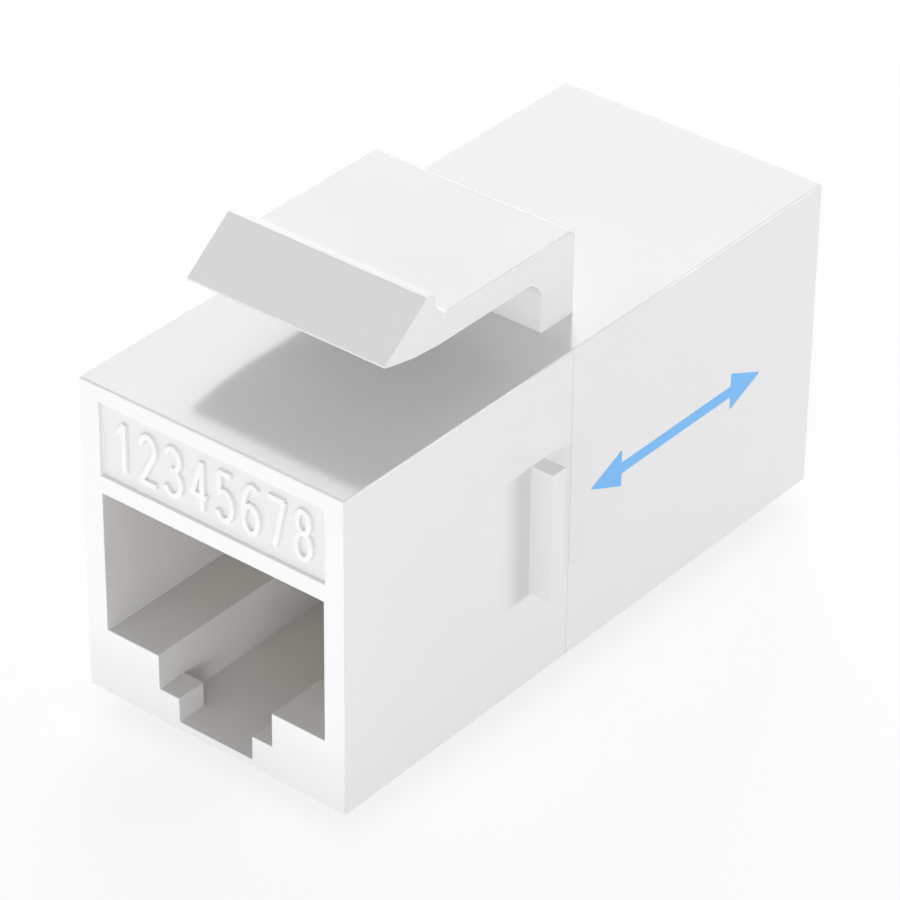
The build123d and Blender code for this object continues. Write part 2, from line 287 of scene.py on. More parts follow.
class Finish(bpy.types.PropertyGroup):
    """Colours of the materials"""

    shell: tint("Shell", "White plastic of the housing", 0.84, 0.84, 0.842)
    # Darker than the shell: painted shade on the recessed floor of the label field, which is also matt
    field: tint("Field", "The same where the floor of the label field is matt", 0.755, 0.755, 0.757)
    # Dark grey: partly the carriers' own colour, partly painted shade deep in the ports
    insert: tint("Insert", "Grey plastic of the carriers", 0.34, 0.325, 0.3)
    gold: tint("Gold", "Gold of the contacts", 0.92, 0.66, 0.28)
    nickel: tint("Nickel", "Pale metal where the gold is thin", 0.74, 0.7, 0.62)
    mask: tint("Mask", "Solder mask of the board", 0.012, 0.16, 0.05)
    track: tint("Track", "Tracks under the solder mask", 0.03, 0.3, 0.1)
    ink: tint("Ink", "Light blue print", 0.17, 0.5, 0.95)


class StageSettings(bpy.types.PropertyGroup):
    """Camera, lamps and floor"""

    lens: bpy.props.FloatProperty(
        name="Lens", description="Focal length in millimetres", default=184.98, min=1, unit="CAMERA"
    )
    azimuth: angle("Azimuth", "Camera's angle round the coupler", 38.94)
    elevation: angle("Elevation", "Camera's angle above the floor", 33.6)
    roll: angle("Roll", "Camera's turn about its own line of sight", 0.606)
    distance: length("Distance", "Camera to the point that it looks at", 203.97)
    aim: bpy.props.FloatVectorProperty(
        name="Aim",
        description="Point that the camera looks at",
        default=(-0.0737 * MM, -0.6935 * MM, 8.2578 * MM),
        unit="LENGTH",
    )
    floor_size: length("Floor size", "Width and depth of the floor", 3000.0)
    floor_white: share("Floor white", "How much light the floor throws back on the coupler", 0.8)
    floor_shade: share("Floor shade", "How much the floor shows of light and shadow", 0.32)
    floor_glow: share("Floor glow", "Even brightness of the floor to the camera and in gloss", 0.76)
    sky: share("Sky", "Strength of the even light from all round", 0.46, 5.0)
    ring: length("Ring", "Distance of the lamps from the coupler", 300.0)
    front: brightness("Front", "low strip lamp in front", 3.85)
    side: brightness("Side", "low strip lamp between front and right", 5.0)
    corner: brightness("Corner", "low strip lamp behind on the right", 12.2)
    left: brightness("Left", "upper strip lamp on the left", 0.4)
    table: brightness("Table", "light from the table in front", 0.42)
    table_width: length("Table width", "Width of the lamp that stands for the table", 120.0)
    table_depth: length("Table depth", "Depth of the lamp that stands for the table", 70.0)
    table_gap: length("Table gap", "Front face to the lamp that stands for the table", 3.5)
    table_rise: length("Table rise", "Floor to the lamp that stands for the table", 0.03)
    box_width: angle("Box width", "Width of the soft boxes, as an angle", 28)
    box_edge: brightness("Edge box", "soft box under the others, for the rear edges", 3.0)
    box_low: brightness("Low box", "low soft box", 2.3)
    box_middle: brightness("Middle box", "soft box over the low one", 3.25)
    box_high: brightness("High box", "soft box under the highest", 3.85)
    box_highest: brightness("Highest box", "highest soft box", 1.8)


def settings_of(context, *names):
    """The named groups of the coupler's settings."""
    return [getattr(context.scene, f"coupler_{name}") for name in names]


# Helpers for work in object and edit mode


def alone(piece):
    """Make one object the only selected one, and active."""
    bpy.ops.object.select_all(action="DESELECT")
    piece.select_set(True)
    bpy.context.view_layer.objects.active = piece


def settle(piece):
    """Put a piece's place into its mesh, with its object at the origin."""
    alone(piece)
    bpy.ops.object.transform_apply(location=True, rotation=True, scale=True)


def block(name, x, y, z):
    """A box between three pairs of limits, added as a cube and sized."""
    bpy.ops.object.select_all(action="DESELECT")
    low, high = (Vector(corner) for corner in zip(x, y, z))
    bpy.ops.mesh.primitive_cube_add(size=1, location=(low + high) / 2)
    piece = bpy.context.object
    piece.name = name
    piece.scale = high - low
    settle(piece)
    return piece


def combine(piece, operation, *tools):
    """Join others to a piece or cut them out of it, one by one, which uses them up."""
    for tool in tools:
        alone(piece)
        change = piece.modifiers.new("Shape", "BOOLEAN")
        change.operation = operation
        change.solver = "EXACT"
        change.object = tool
        bpy.ops.object.modifier_apply(modifier=change.name)
        bpy.data.objects.remove(tool)


def select_where(piece, wanted):
    """In edit mode, select just the vertices whose place passes a test, with their edges and faces."""
    bpy.ops.mesh.select_mode(type="VERT")
    bpy.ops.mesh.select_all(action="DESELECT")
    mesh = bmesh.from_edit_mesh(piece.data)
    for vertex in mesh.verts:
        vertex.select_set(wanted(vertex.co))
    mesh.select_flush(True)
    bmesh.update_edit_mesh(piece.data)


def close_edit():
    """Turn the normals of the whole mesh outward, and leave edit mode."""
    bpy.ops.mesh.select_all(action="SELECT")
    bpy.ops.mesh.normals_make_consistent(inside=False)
    bpy.ops.object.mode_set(mode="OBJECT")


def outline_solid(name, corners, x):
    """A solid across the body from a Y-Z outline of (y, z, corner radius), rounded and extruded."""
    bpy.ops.object.select_all(action="DESELECT")
    bpy.ops.mesh.primitive_circle_add(vertices=len(corners), radius=MM, fill_type="NGON")
    piece = bpy.context.object
    piece.name = name
    places = [Vector((x[0], y, z)) for y, z, _ in corners]
    for vertex, place in zip(piece.data.vertices, places):
        vertex.co = place
    bpy.ops.object.mode_set(mode="EDIT")
    for index, (_, _, radius) in enumerate(corners):
        if not radius:
            continue
        place = places[index]
        before = places[index - 1] - place
        after = places[(index + 1) % len(places)] - place
        turn = pi - before.angle(after)
        select_where(piece, lambda co: (co - place).length < SAME_PLACE)
        bpy.ops.mesh.bevel(
            offset_type="OFFSET",
            offset=radius * tan(turn / 2),
            segments=max(2, round(turn / ARC_STEP)),
            profile=0.5,
            affect="VERTICES",
            clamp_overlap=False,
        )
    bpy.ops.mesh.select_all(action="SELECT")
    bpy.ops.mesh.extrude_region_move(TRANSFORM_OT_translate={"value": (x[1] - x[0], 0, 0)})
    close_edit()
    return piece


def tidy_faces(piece):
    """Merge doubles and flat neighbours that the cuts left behind."""
    alone(piece)
    bpy.ops.object.mode_set(mode="EDIT")
    bpy.ops.mesh.select_all(action="SELECT")
    bpy.ops.mesh.remove_doubles(threshold=MERGE)
    bpy.ops.mesh.dissolve_limited(angle_limit=FLAT)
    close_edit()


def round_edges(piece, radius_at, steps=3):
    """Round the sharp edges of a piece, each by the radius that radius_at gives for its middle."""
    mesh = bmesh.new()
    mesh.from_mesh(piece.data)
    weight = mesh.edges.layers.float.new("bevel_weight_edge")
    radii = {}
    for edge in mesh.edges:
        if len(edge.link_faces) == 2 and edge.calc_face_angle(0.0) > SHARP:
            radii[edge] = radius_at((edge.verts[0].co + edge.verts[1].co) / 2, edge)
    widest = max(radii.values())
    for edge, radius in radii.items():
        edge[weight] = radius / widest
    mesh.to_mesh(piece.data)
    mesh.free()
    alone(piece)
    bevel = piece.modifiers.new("Rounds", "BEVEL")
    bevel.limit_method = "WEIGHT"
    bevel.width = widest
    bevel.segments = steps
    bevel.use_clamp_overlap = False
    bpy.ops.object.modifier_apply(modifier=bevel.name)


def even_shading(piece):
    """Shade a piece smooth, with its large flat faces kept flat."""
    alone(piece)
    bpy.ops.object.shade_smooth_by_angle(angle=SMOOTH)
    weighted = piece.modifiers.new("Normals", "WEIGHTED_NORMAL")
    weighted.keep_sharp = True
    bpy.ops.object.modifier_apply(modifier=weighted.name)


def finish_piece(piece, material, slot, *nodes):
    """Give a finished piece its material, parent it to the body, and hide the imported parts that it takes
    the place of.
    """
    piece.data.materials.clear()
    piece.data.materials.append(material)
    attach(piece, BODY)
    if nodes:
        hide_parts(*nodes)


def copy_of(piece, name):
    """A copy of a piece with a mesh of its own."""
    copy = piece.copy()
    copy.data = piece.data.copy()
    copy.name = name
    bpy.context.scene.collection.objects.link(copy)
    return copy


def turn_to_rear(piece):
    """Turn a piece half round about the upright axis, into the rear end."""
    piece.data.transform(Matrix.Rotation(pi, 4, "Z"))


# Materials


def fill(tree, made, inputs):
    """Give inputs of a node, by name or number, a value each or another socket to link to."""
    for key, value in inputs.items():
        if isinstance(value, bpy.types.NodeSocket):
            tree.links.new(value, made.inputs[key])
        else:
            made.inputs[key].default_value = value


def node(tree, kind, inputs=None, **settings):
    """Add a shader node, set its properties and fill its inputs."""
    made = tree.nodes.new(f"ShaderNode{kind}")
    for name, value in settings.items():
        setattr(made, name, value)
    fill(tree, made, inputs or {})
    return made


def sums(tree, operation, first, second):
    """A Math node on two values, each a socket or a number."""
    return node(tree, "Math", {0: first, 1: second}, operation=operation).outputs[0]


def swing(tree, value, reach):
    """A pattern between 0 and 1 made to swing evenly about 0, over the given reach."""
    return sums(tree, "MULTIPLY", sums(tree, "SUBTRACT", value, 0.5), reach)


def ramp(tree, value, *stops):
    """Two colours that a value blends, each given as (position, colour)."""
    made = node(tree, "ValToRGB", {"Fac": value})
    for element, (position, colour) in zip(made.color_ramp.elements, stops):
        element.position = position
        element.color = (*colour, 1)
    return made.outputs["Color"]


def grey(level):
    """A neutral colour for a socket."""
    return (level, level, level, 1)


def straight_rays(tree):
    """1 where the camera sees the surface, straight or in gloss or glass, and 0 in other light."""
    path = node(tree, "LightPath")
    seen = sums(tree, "MAXIMUM", path.outputs["Is Camera Ray"], path.outputs["Is Glossy Ray"])
    return sums(tree, "MAXIMUM", seen, path.outputs["Is Transmission Ray"])


def moulded_surface():
    """Group for moulded plastic: fine eroded grain, slow waves, and slight changes of colour and gloss."""
    name = "Moulded surface"
    if name in bpy.data.node_groups:
        return bpy.data.node_groups[name]
    group = bpy.data.node_groups.new(name, "ShaderNodeTree")
    for way, kind, titles in (
        ("INPUT", "Color", ("Color", "Shade")),
        ("INPUT", "Float", ("Roughness", "Grain Size", "Grain Depth")),
        ("OUTPUT", "Color", ("Color",)),
        ("OUTPUT", "Float", ("Roughness", "Height")),
    ):
        for title in titles:
            group.interface.new_socket(title, in_out=way, socket_type=f"NodeSocket{kind}")
    cloud_tint = 0.35
    cloud_gloss = 0.16
    cloud_height = 2.0
    grain_gloss = 0.12
    given = group.nodes.new("NodeGroupInput").outputs
    result = group.nodes.new("NodeGroupOutput")
    place = node(group, "TexCoord").outputs["Object"]
    fineness = sums(group, "DIVIDE", 1.0, given["Grain Size"])
    fine = {"Vector": place, "Scale": fineness, "Detail": 2.0, "Roughness": 0.55}
    grain = node(group, "TexNoise", fine).outputs["Fac"]
    clouds = node(group, "TexNoise", {"Vector": place, "Scale": 160.0, "Detail": 3.0}).outputs["Fac"]
    mix = node(group, "Mix", {0: sums(group, "MULTIPLY", clouds, cloud_tint)}, data_type="RGBA")
    first, second = (index for index, socket in enumerate(mix.inputs) if socket.type == "RGBA")
    fill(group, mix, {first: given["Color"], second: given["Shade"]})
    colour = next(socket for socket in mix.outputs if socket.type == "RGBA")
    rough = sums(group, "ADD", given["Roughness"], swing(group, clouds, cloud_gloss))
    rough = sums(group, "ADD", rough, swing(group, grain, grain_gloss))
    waves = sums(group, "MULTIPLY", clouds, cloud_height)
    height = sums(group, "ADD", sums(group, "MULTIPLY", grain, given["Grain Depth"]), waves)
    fill(group, result, {"Color": colour, "Roughness": rough, "Height": height})
    return group


def shader(name):
    """A new material with its tree, its Principled shader and a Bump node feeding it."""
    material = bpy.data.materials.new(name)
    material.use_nodes = True
    tree = material.node_tree
    principled = tree.nodes["Principled BSDF"]
    bump = node(tree, "Bump")
    fill(tree, principled, {"Normal": bump.outputs["Normal"]})
    return material, tree, principled, bump


def moulded(kind):
    """A moulded plastic or the print, in the colour that the settings give for its kind."""
    name, shade, roughness, grain_size, grain_depth = PLASTICS[kind]
    if name in bpy.data.materials:
        return bpy.data.materials[name]
    colour = getattr(bpy.context.scene.coupler_finish, kind)
    material, tree, principled, bump = shader(name)
    surface = node(
        tree,
        "Group",
        {
            "Color": (*colour, 1),
            "Shade": (*(part * shade for part in colour), 1),
            "Roughness": roughness,
            "Grain Size": grain_size,
            "Grain Depth": grain_depth,
        },
        node_tree=moulded_surface(),
    ).outputs
    fill(tree, principled, {"Base Color": surface["Color"], "Roughness": surface["Roughness"], "IOR": 1.52})
    fill(tree, bump, {"Height": surface["Height"], "Strength": 0.5, "Distance": 0.004 * MM})
    return material


def contact_gold():
    """Gold over nickel, with drawing lines along the wire and thin places at random."""
    finish = bpy.context.scene.coupler_finish
    material, tree, principled, bump = shader("Contact gold")
    least_rough = 0.12
    line_rough = 0.22
    place = node(tree, "TexCoord").outputs["Object"]
    stretch = node(tree, "Mapping", {"Vector": place, "Scale": (30000, 900, 900)}).outputs["Vector"]
    lines = node(tree, "TexNoise", {"Vector": stretch, "Scale": 1.0, "Detail": 4.0}).outputs["Fac"]
    thin = node(tree, "TexNoise", {"Vector": place, "Scale": 1400.0}).outputs["Fac"]
    colour = ramp(tree, thin, (0.42, finish.gold), (0.85, finish.nickel))
    rough = sums(tree, "ADD", sums(tree, "MULTIPLY", lines, line_rough), least_rough)
    fill(tree, principled, {"Base Color": colour, "Roughness": rough, "Metallic": 1.0})
    fill(tree, bump, {"Height": lines, "Strength": 0.4, "Distance": 0.002 * MM})
    return material


def board_laminate():
    """Green solder mask over tracks and glass weave."""
    finish = bpy.context.scene.coupler_finish
    material, tree, principled, bump = shader("Board laminate")
    least_rough = 0.25
    weave_rough = 0.1
    place = node(tree, "TexCoord").outputs["Object"]
    wave = {"Vector": place, "Scale": 310.0, "Distortion": 1.5}
    tracks = node(tree, "TexWave", wave, wave_type="BANDS", bands_direction="X").outputs["Fac"]
    colour = ramp(tree, tracks, (0.55, finish.mask), (0.62, finish.track))
    cloth = {"Vector": place, "Scale": 900.0}
    weave = node(tree, "TexWave", cloth, wave_type="BANDS", bands_direction="Z").outputs["Fac"]
    rough = sums(tree, "ADD", sums(tree, "MULTIPLY", weave, weave_rough), least_rough)
    fill(tree, principled, {"Base Color": colour, "Roughness": rough})
    fill(tree, bump, {"Height": sums(tree, "ADD", tracks, weave), "Distance": 0.01 * MM})
    return material


# Shapes that both halves share


def ceiling_of(port):
    """Height of the ceiling of the ports."""
    return UNDERSIDE + port.shoulder_height + port.height


def field_heights(housing, port):
    """Heights of the lower and upper edge of the label field."""
    return ceiling_of(port) + housing.label_bottom_margin, BODY_TOP - housing.label_top_margin


def half_shell(name, depth):
    """Outer block of one half, from the front face to the given depth."""
    return block(name, (-HALF_WIDTH, HALF_WIDTH), (FACE_Y, FACE_Y + depth), (UNDERSIDE, BODY_TOP))


def hollow_tools(port, housing, carrier, end):
    """Cutters for the port, its channel and the chamber of the carrier, from the front face to the end."""
    floor = UNDERSIDE + port.channel_floor
    shoulders = UNDERSIDE + port.shoulder_height
    ceiling = ceiling_of(port)
    half = port.width / 2
    channel = port.channel_width / 2
    slot = channel - port.ear_reach
    rails = half + carrier.rail_reach + carrier.clearance
    throat = FACE_Y + port.ear_depth
    mouth = (FACE_Y - OVERCUT, throat + OVERCUT)
    chamber = (FACE_Y + housing.face_wall, end)
    over_shoulders = shoulders + OVERCUT
    over_tongue = ceiling + carrier.tongue + carrier.clearance
    return (
        block("port", (-half, half), (FACE_Y - OVERCUT, end), (shoulders, ceiling)),
        block("channel", (-channel, channel), (throat, end), (floor, over_shoulders)),
        block("mouth", (-channel, channel), mouth, (floor + port.ear_rise, over_shoulders)),
        block("slot", (-slot, slot), mouth, (floor, over_shoulders)),
        block("chamber", (-half, half), chamber, (ceiling - OVERCUT, BODY_TOP - housing.top_wall)),
        block("rail slots", (-rails, rails), chamber, (ceiling - carrier.clearance, over_tongue)),
    )


def collar(name, port, housing, gap, y):
    """Box round the port that the spigot fills and its socket clears."""
    wall = housing.spigot_wall + gap
    low = UNDERSIDE + port.shoulder_height - wall
    high = BODY_TOP - housing.top_wall + wall
    half = port.width / 2 + wall
    return block(name, (-half, half), y, (low, high))


def housing_radius(housing, split, latch_width):
    """How round each sharp edge of a half is, by where the edge lies."""

    def near(place, plane):
        return abs(place - plane) < TOUCH

    def radius(middle, edge):
        on_side = near(abs(middle.x), HALF_WIDTH)
        on_top_or_bottom = near(middle.z, BODY_TOP) or near(middle.z, UNDERSIDE)
        on_end = near(middle.y, FACE_Y) or near(middle.y, REAR_Y)
        if all(near(vertex.co.y, split) for vertex in edge.verts):
            if near(middle.z, BODY_TOP):
                return housing.split_top
            return housing.split_bevel if on_side or on_top_or_bottom else 0.0
        outer_edge = on_side + on_top_or_bottom + on_end >= 2
        if outer_edge and (on_end or abs(middle.x) > latch_width / 2):
            return housing.edge_round
        return housing.fine_round

    return radius


class COUPLER_OT_front_housing(bpy.types.Operator):
    """Model the front half of the body, with its port, label field, stop ribs, lug and spigot"""

    bl_idname = "coupler.front_housing"
    bl_label = "Front Housing"

    def execute(self, context):
        housing, port, carrier, latch = settings_of(context, "housing", "port", "carrier", "latch")
        split = FACE_Y + housing.front_depth
        shell = half_shell("front_shell", housing.front_depth)
        spigot = collar("spigot", port, housing, 0.0, (split - OVERCUT, SPIGOT_END))
        combine(shell, "UNION", spigot, self.ribs(housing), self.lug(housing, port, latch))
        field = block(
            "field",
            (-HALF_WIDTH + housing.label_side_margin, HALF_WIDTH - housing.label_side_margin),
            (FACE_Y - OVERCUT, FACE_Y + housing.label_depth),
            field_heights(housing, port),
        )
        combine(shell, "DIFFERENCE", *hollow_tools(port, housing, carrier, SPIGOT_END + OVERCUT), field)
        tidy_faces(shell)
        round_edges(shell, housing_radius(housing, split, latch.width))
        even_shading(shell)
        finish_piece(shell, moulded("shell"), "housing_plastic", "front_housing")
        self.matt_floor_painted_shade(shell, housing, port)
        return {"FINISHED"}

    def ribs(self, housing):
        """Both stop ribs as one bar across the body."""
        front = FACE_Y + housing.rib_setback
        middle = (UNDERSIDE + BODY_TOP) / 2 + housing.rib_lift
        return block(
            "ribs",
            (-RIB_SIDE, RIB_SIDE),
            (front, front + housing.rib_thickness),
            (middle - housing.rib_height / 2, middle + housing.rib_height / 2),
        )

    def lug(self, housing, port, latch):
        """The fixed lug underneath, with its catch wall in line with that of the latch."""
        catch = FACE_Y + latch.catch_depth
        root = UNDERSIDE + port.channel_floor / 2
        return outline_solid(
            "lug",
            (
                (catch, root, 0),
                (catch, LUG_BOTTOM, 0),
                (catch - housing.lug_land, LUG_BOTTOM, 0),
                (catch - housing.lug_length, UNDERSIDE, 0),
                (catch - housing.lug_length, root, 0),
            ),
            (-housing.lug_width / 2, housing.lug_width / 2),
        )

    def matt_floor_painted_shade(self, shell, housing, port):
        """Give the floor of the label field its matt plastic, painted darker as the shade of its recess."""
        shell.data.materials.append(moulded("field"))
        floor_y = FACE_Y + housing.label_depth
        for face in shell.data.polygons:
            on_floor = abs(face.center.y - floor_y) < TOUCH and face.center.z > ceiling_of(port)
            if on_floor and face.normal.y < -FACING:
                face.material_index = 1


class COUPLER_OT_rear_housing(bpy.types.Operator):
    """Model the rear half of the body, with its port, its socket and the spring latch"""

    bl_idname = "coupler.rear_housing"
    bl_label = "Rear Housing"

    def execute(self, context):
        housing, port, carrier, latch = settings_of(context, "housing", "port", "carrier", "latch")
        split = FACE_Y + housing.front_depth
        depth = REAR_Y - split
        shell = half_shell("rear_shell", depth)
        combine(shell, "DIFFERENCE", *hollow_tools(port, housing, carrier, FACE_Y + depth + OVERCUT))
        turn_to_rear(shell)
        reach = SPIGOT_END + housing.spigot_clearance
        socket = collar("socket", port, housing, housing.spigot_clearance, (split - OVERCUT, reach))
        combine(shell, "DIFFERENCE", socket)
        combine(shell, "UNION", self.latch(latch, split))
        tidy_faces(shell)
        plain = housing_radius(housing, split, latch.width)

        def radius(middle, edge):
            return latch.edge_round if middle.z > BODY_TOP + TOUCH else plain(middle, edge)

        round_edges(shell, radius)
        even_shading(shell)
        finish_piece(shell, moulded("shell"), "housing_plastic", "rear_housing")
        return {"FINISHED"}

    def latch(self, sizes, split):
        """Foot, arm and wedge of the latch as one outline, extruded across the body."""
        underside = BODY_TOP + sizes.gap
        arm_top = underside + sizes.arm
        root = BODY_TOP - OVERCUT
        front = split + sizes.foot_setback
        rear = front + sizes.foot
        catch = FACE_Y + sizes.catch_depth
        tip_z = arm_top - sizes.tip_drop
        crest_y = catch - sizes.crest_length
        tip_y = crest_y - sizes.ramp
        belly_y = tip_y + sizes.belly
        belly_rise = tip_z - underside
        belly_turn = atan2(belly_rise, sizes.belly)
        belly_radius = sizes.belly_share * hypot(sizes.belly, belly_rise) / tan(belly_turn / 2)
        crest = arm_top + sizes.crest_rise
        return outline_solid(
            "latch",
            (
                (front, root, 0),
                (front, underside, sizes.foot_root),
                (belly_y, underside, belly_radius),
                (tip_y, tip_z, sizes.tip_round),
                (crest_y, crest, sizes.tip_round),
                (catch, crest - sizes.crest_fall, sizes.tip_round),
                (catch, arm_top, sizes.catch_root),
                (rear, arm_top, sizes.end_round),
                (rear, root, 0),
            ),
            (-sizes.width / 2, sizes.width / 2),
        )


class COUPLER_OT_label_numbers(bpy.types.Operator):
    """Set the raised numbers of the eight contacts in the label field"""

    bl_idname = "coupler.label_numbers"
    bl_label = "Label Numbers"

    def execute(self, context):
        housing, port, marks, contacts = settings_of(context, "housing", "port", "marks", "contact")
        low, high = field_heights(housing, port)
        floor_y = FACE_Y + housing.label_depth
        pieces = []
        for index in range(contacts.count):
            middle = (index - (contacts.count - 1) / 2) * marks.digit_pitch
            for line in DIGIT_LINES[index]:
                place = Vector((middle, (low + high) / 2))
                rise = marks.digit_rise + len(pieces) % LEVELS * LEVEL_STEP
                pieces.append(self.stroke(marks, line, place, (floor_y - rise, floor_y + marks.digit_rise)))
        bpy.ops.object.select_all(action="DESELECT")
        for piece in pieces:
            piece.select_set(True)
        numbers = pieces[0]
        bpy.context.view_layer.objects.active = numbers
        bpy.ops.object.join()
        numbers.name = "label_numbers"
        round_edges(numbers, lambda middle, edge: marks.digit_round if middle.y < floor_y else 0.0, steps=2)
        even_shading(numbers)
        finish_piece(numbers, moulded("shell"), "housing_plastic")
        return {"FINISHED"}

    def stroke(self, marks, line, place, depth):
        """One stroke of a number: an even band along its middle line, as deep as the two places in depth."""
        half = marks.digit_stroke / 2
        wide, tall = marks.digit_width - 2 * half, marks.digit_height - 2 * half
        points = [Vector(((u - 0.5) * wide, (v - 0.5) * tall)) + place for u, v in line]
        ways = [(after - before).normalized() for before, after in zip(points, points[1:])]
        near, far = [], []
        for index, point in enumerate(points):
            before, after = ways[max(index - 1, 0)], ways[min(index, len(ways) - 1)]
            if index in (0, len(points) - 1):
                point = point + after * half * END_REACH * (1 if index else -1)
            across = (before + after).normalized().orthogonal()
            across *= half / across.dot(after.orthogonal())
            near.append(point - across)
            far.append(point + across)
        corners = [(-point.x, point.y, 0) for point in near + far[::-1]]
        band = outline_solid("stroke", corners, depth)
        band.data.transform(Matrix.Rotation(pi / 2, 4, "Z"))
        return band


class COUPLER_OT_side_arrow(bpy.types.Operator):
    """Print the two-ended arrow on the right side of the rear half"""

    bl_idname = "coupler.side_arrow"
    bl_label = "Side Arrow"

    def execute(self, context):
        marks = context.scene.coupler_marks
        middle = FACE_Y + marks.arrow_setback
        height = UNDERSIDE + marks.arrow_height
        reach = marks.arrow_length / 2
        neck = reach - marks.arrow_head
        head = marks.arrow_width / 2
        shaft = marks.arrow_shaft / 2
        right = [(neck, -shaft), (neck, -head), (reach, 0), (neck, head), (neck, shaft)]
        left = [(-y, -z) for y, z in right]
        corners = [(middle + y, height + z, marks.arrow_round) for y, z in left + right]
        arrow = outline_solid("side_arrow", corners, (HALF_WIDTH - marks.ink, HALF_WIDTH + marks.ink))
        even_shading(arrow)
        finish_piece(arrow, moulded("ink"), "marking_ink")
        return {"FINISHED"}


class COUPLER_OT_contacts(bpy.types.Operator):
    """Bend the spring contacts of both ports"""

    bl_idname = "coupler.contacts"
    bl_label = "Contacts"

    def execute(self, context):
        sizes = context.scene.coupler_contact
        gold = contact_gold()
        rows = ((sizes.near_riser, sizes.upper_tail), (sizes.far_riser, sizes.lower_tail))
        for row, (riser, tail) in enumerate(rows):
            wire = self.bend(context, riser, tail)
            for index in range(row, sizes.count, len(rows)):
                shift = (index - (sizes.count - 1) / 2) * sizes.pitch
                for end in ("front", "rear"):
                    contact = copy_of(wire, f"{end}_spring_{index + 1}")
                    contact.data.transform(Matrix.Translation((shift, 0, 0)))
                    if end == "rear":
                        turn_to_rear(contact)
                    finish_piece(contact, gold, "contact_gold", f"{end}_contact_{index + 1}")
            bpy.data.objects.remove(wire)
        return {"FINISHED"}

    def bend(self, context, riser, tail):
        """One wire on the middle line: its section is drawn along and spun round each bend."""
        sizes, port, carrier, housing = settings_of(context, "contact", "port", "carrier", "housing")
        bend = sizes.bend
        shoulders = UNDERSIDE + port.shoulder_height
        board_front = -carrier.board / 2
        nose_y = FACE_Y + housing.face_wall + carrier.nose_setback
        nose_radius = (carrier.tongue - carrier.groove_depth) / 2
        hairpin = nose_radius + sizes.thickness / 2 + sizes.clearance
        nose_z = ceiling_of(port) + nose_radius
        top_z = nose_z + hairpin
        riser_y = board_front - riser
        tail_z = shoulders + tail
        tip_y = FACE_Y + port.depth - sizes.tip_setback
        tip_z = shoulders + sizes.tip_rise
        reach = hypot(tip_y - nose_y, tip_z - nose_z)
        beam = sqrt(reach**2 - hairpin**2)
        slope = atan2(tip_z - nose_z, tip_y - nose_y) + atan2(hairpin, beam)
        start = -board_front + sizes.tail_reach

        def draw(y, z):
            bpy.ops.mesh.extrude_region_move(TRANSFORM_OT_translate={"value": (0, y, z)})

        def spin(turn, y, z):
            steps = max(4, round(abs(turn) / ARC_STEP))
            bpy.ops.mesh.spin(steps=steps, angle=turn, center=(0, y, z), axis=(1, 0, 0))

        bpy.ops.object.select_all(action="DESELECT")
        bpy.ops.mesh.primitive_plane_add(size=1, location=(0, start, tail_z), rotation=(pi / 2, 0, 0))
        wire = context.object
        wire.name = "wire"
        wire.scale = (sizes.width, sizes.thickness, 1)
        settle(wire)
        bpy.ops.object.mode_set(mode="EDIT")
        bpy.ops.mesh.select_all(action="SELECT")
        draw(riser_y + bend - start, 0)
        spin(pi / 2, riser_y + bend, tail_z + bend)
        draw(0, top_z - tail_z - 2 * bend)
        spin(-pi / 2, riser_y - bend, top_z - bend)
        draw(nose_y - riser_y + bend, 0)
        spin(-pi - slope, nose_y, nose_z)
        draw(beam * cos(slope), beam * sin(slope))
        bpy.ops.mesh.select_all(action="SELECT")
        bpy.ops.mesh.remove_doubles(threshold=MERGE)
        close_edit()
        round_edges(wire, lambda middle, edge: sizes.edge_round, steps=2)
        even_shading(wire)
        return wire


class COUPLER_OT_carriers(bpy.types.Operator):
    """Round the moulded edges of both contact carriers, and finish them"""

    bl_idname = "coupler.carriers"
    bl_label = "Carriers"

    def execute(self, context):
        sizes = context.scene.coupler_carrier
        for end in ("front", "rear"):
            node_name = f"{end}_contact_carrier"
            carrier = copy_of(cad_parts[node_name], f"{end}_insert")
            carrier.parent = None
            for key in list(carrier.keys()):
                del carrier[key]
            tidy_faces(carrier)
            round_edges(carrier, lambda middle, edge: sizes.edge_round, steps=2)
            even_shading(carrier)
            finish_piece(carrier, moulded("insert"), "carrier_plastic", node_name)
        return {"FINISHED"}


class COUPLER_OT_circuit_board(bpy.types.Operator):
    """Finish the circuit board, which keeps its shape"""

    bl_idname = "coupler.circuit_board"
    bl_label = "Circuit Board"

    def execute(self, context):
        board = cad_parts["circuit_board"]
        board.data.materials.clear()
        board.data.materials.append(board_laminate())
        return {"FINISHED"}


def direction(azimuth, elevation):
    """A unit vector away from the coupler, by its angle round it and above the floor."""
    level = cos(elevation)
    return Vector((sin(azimuth) * level, -cos(azimuth) * level, sin(elevation)))


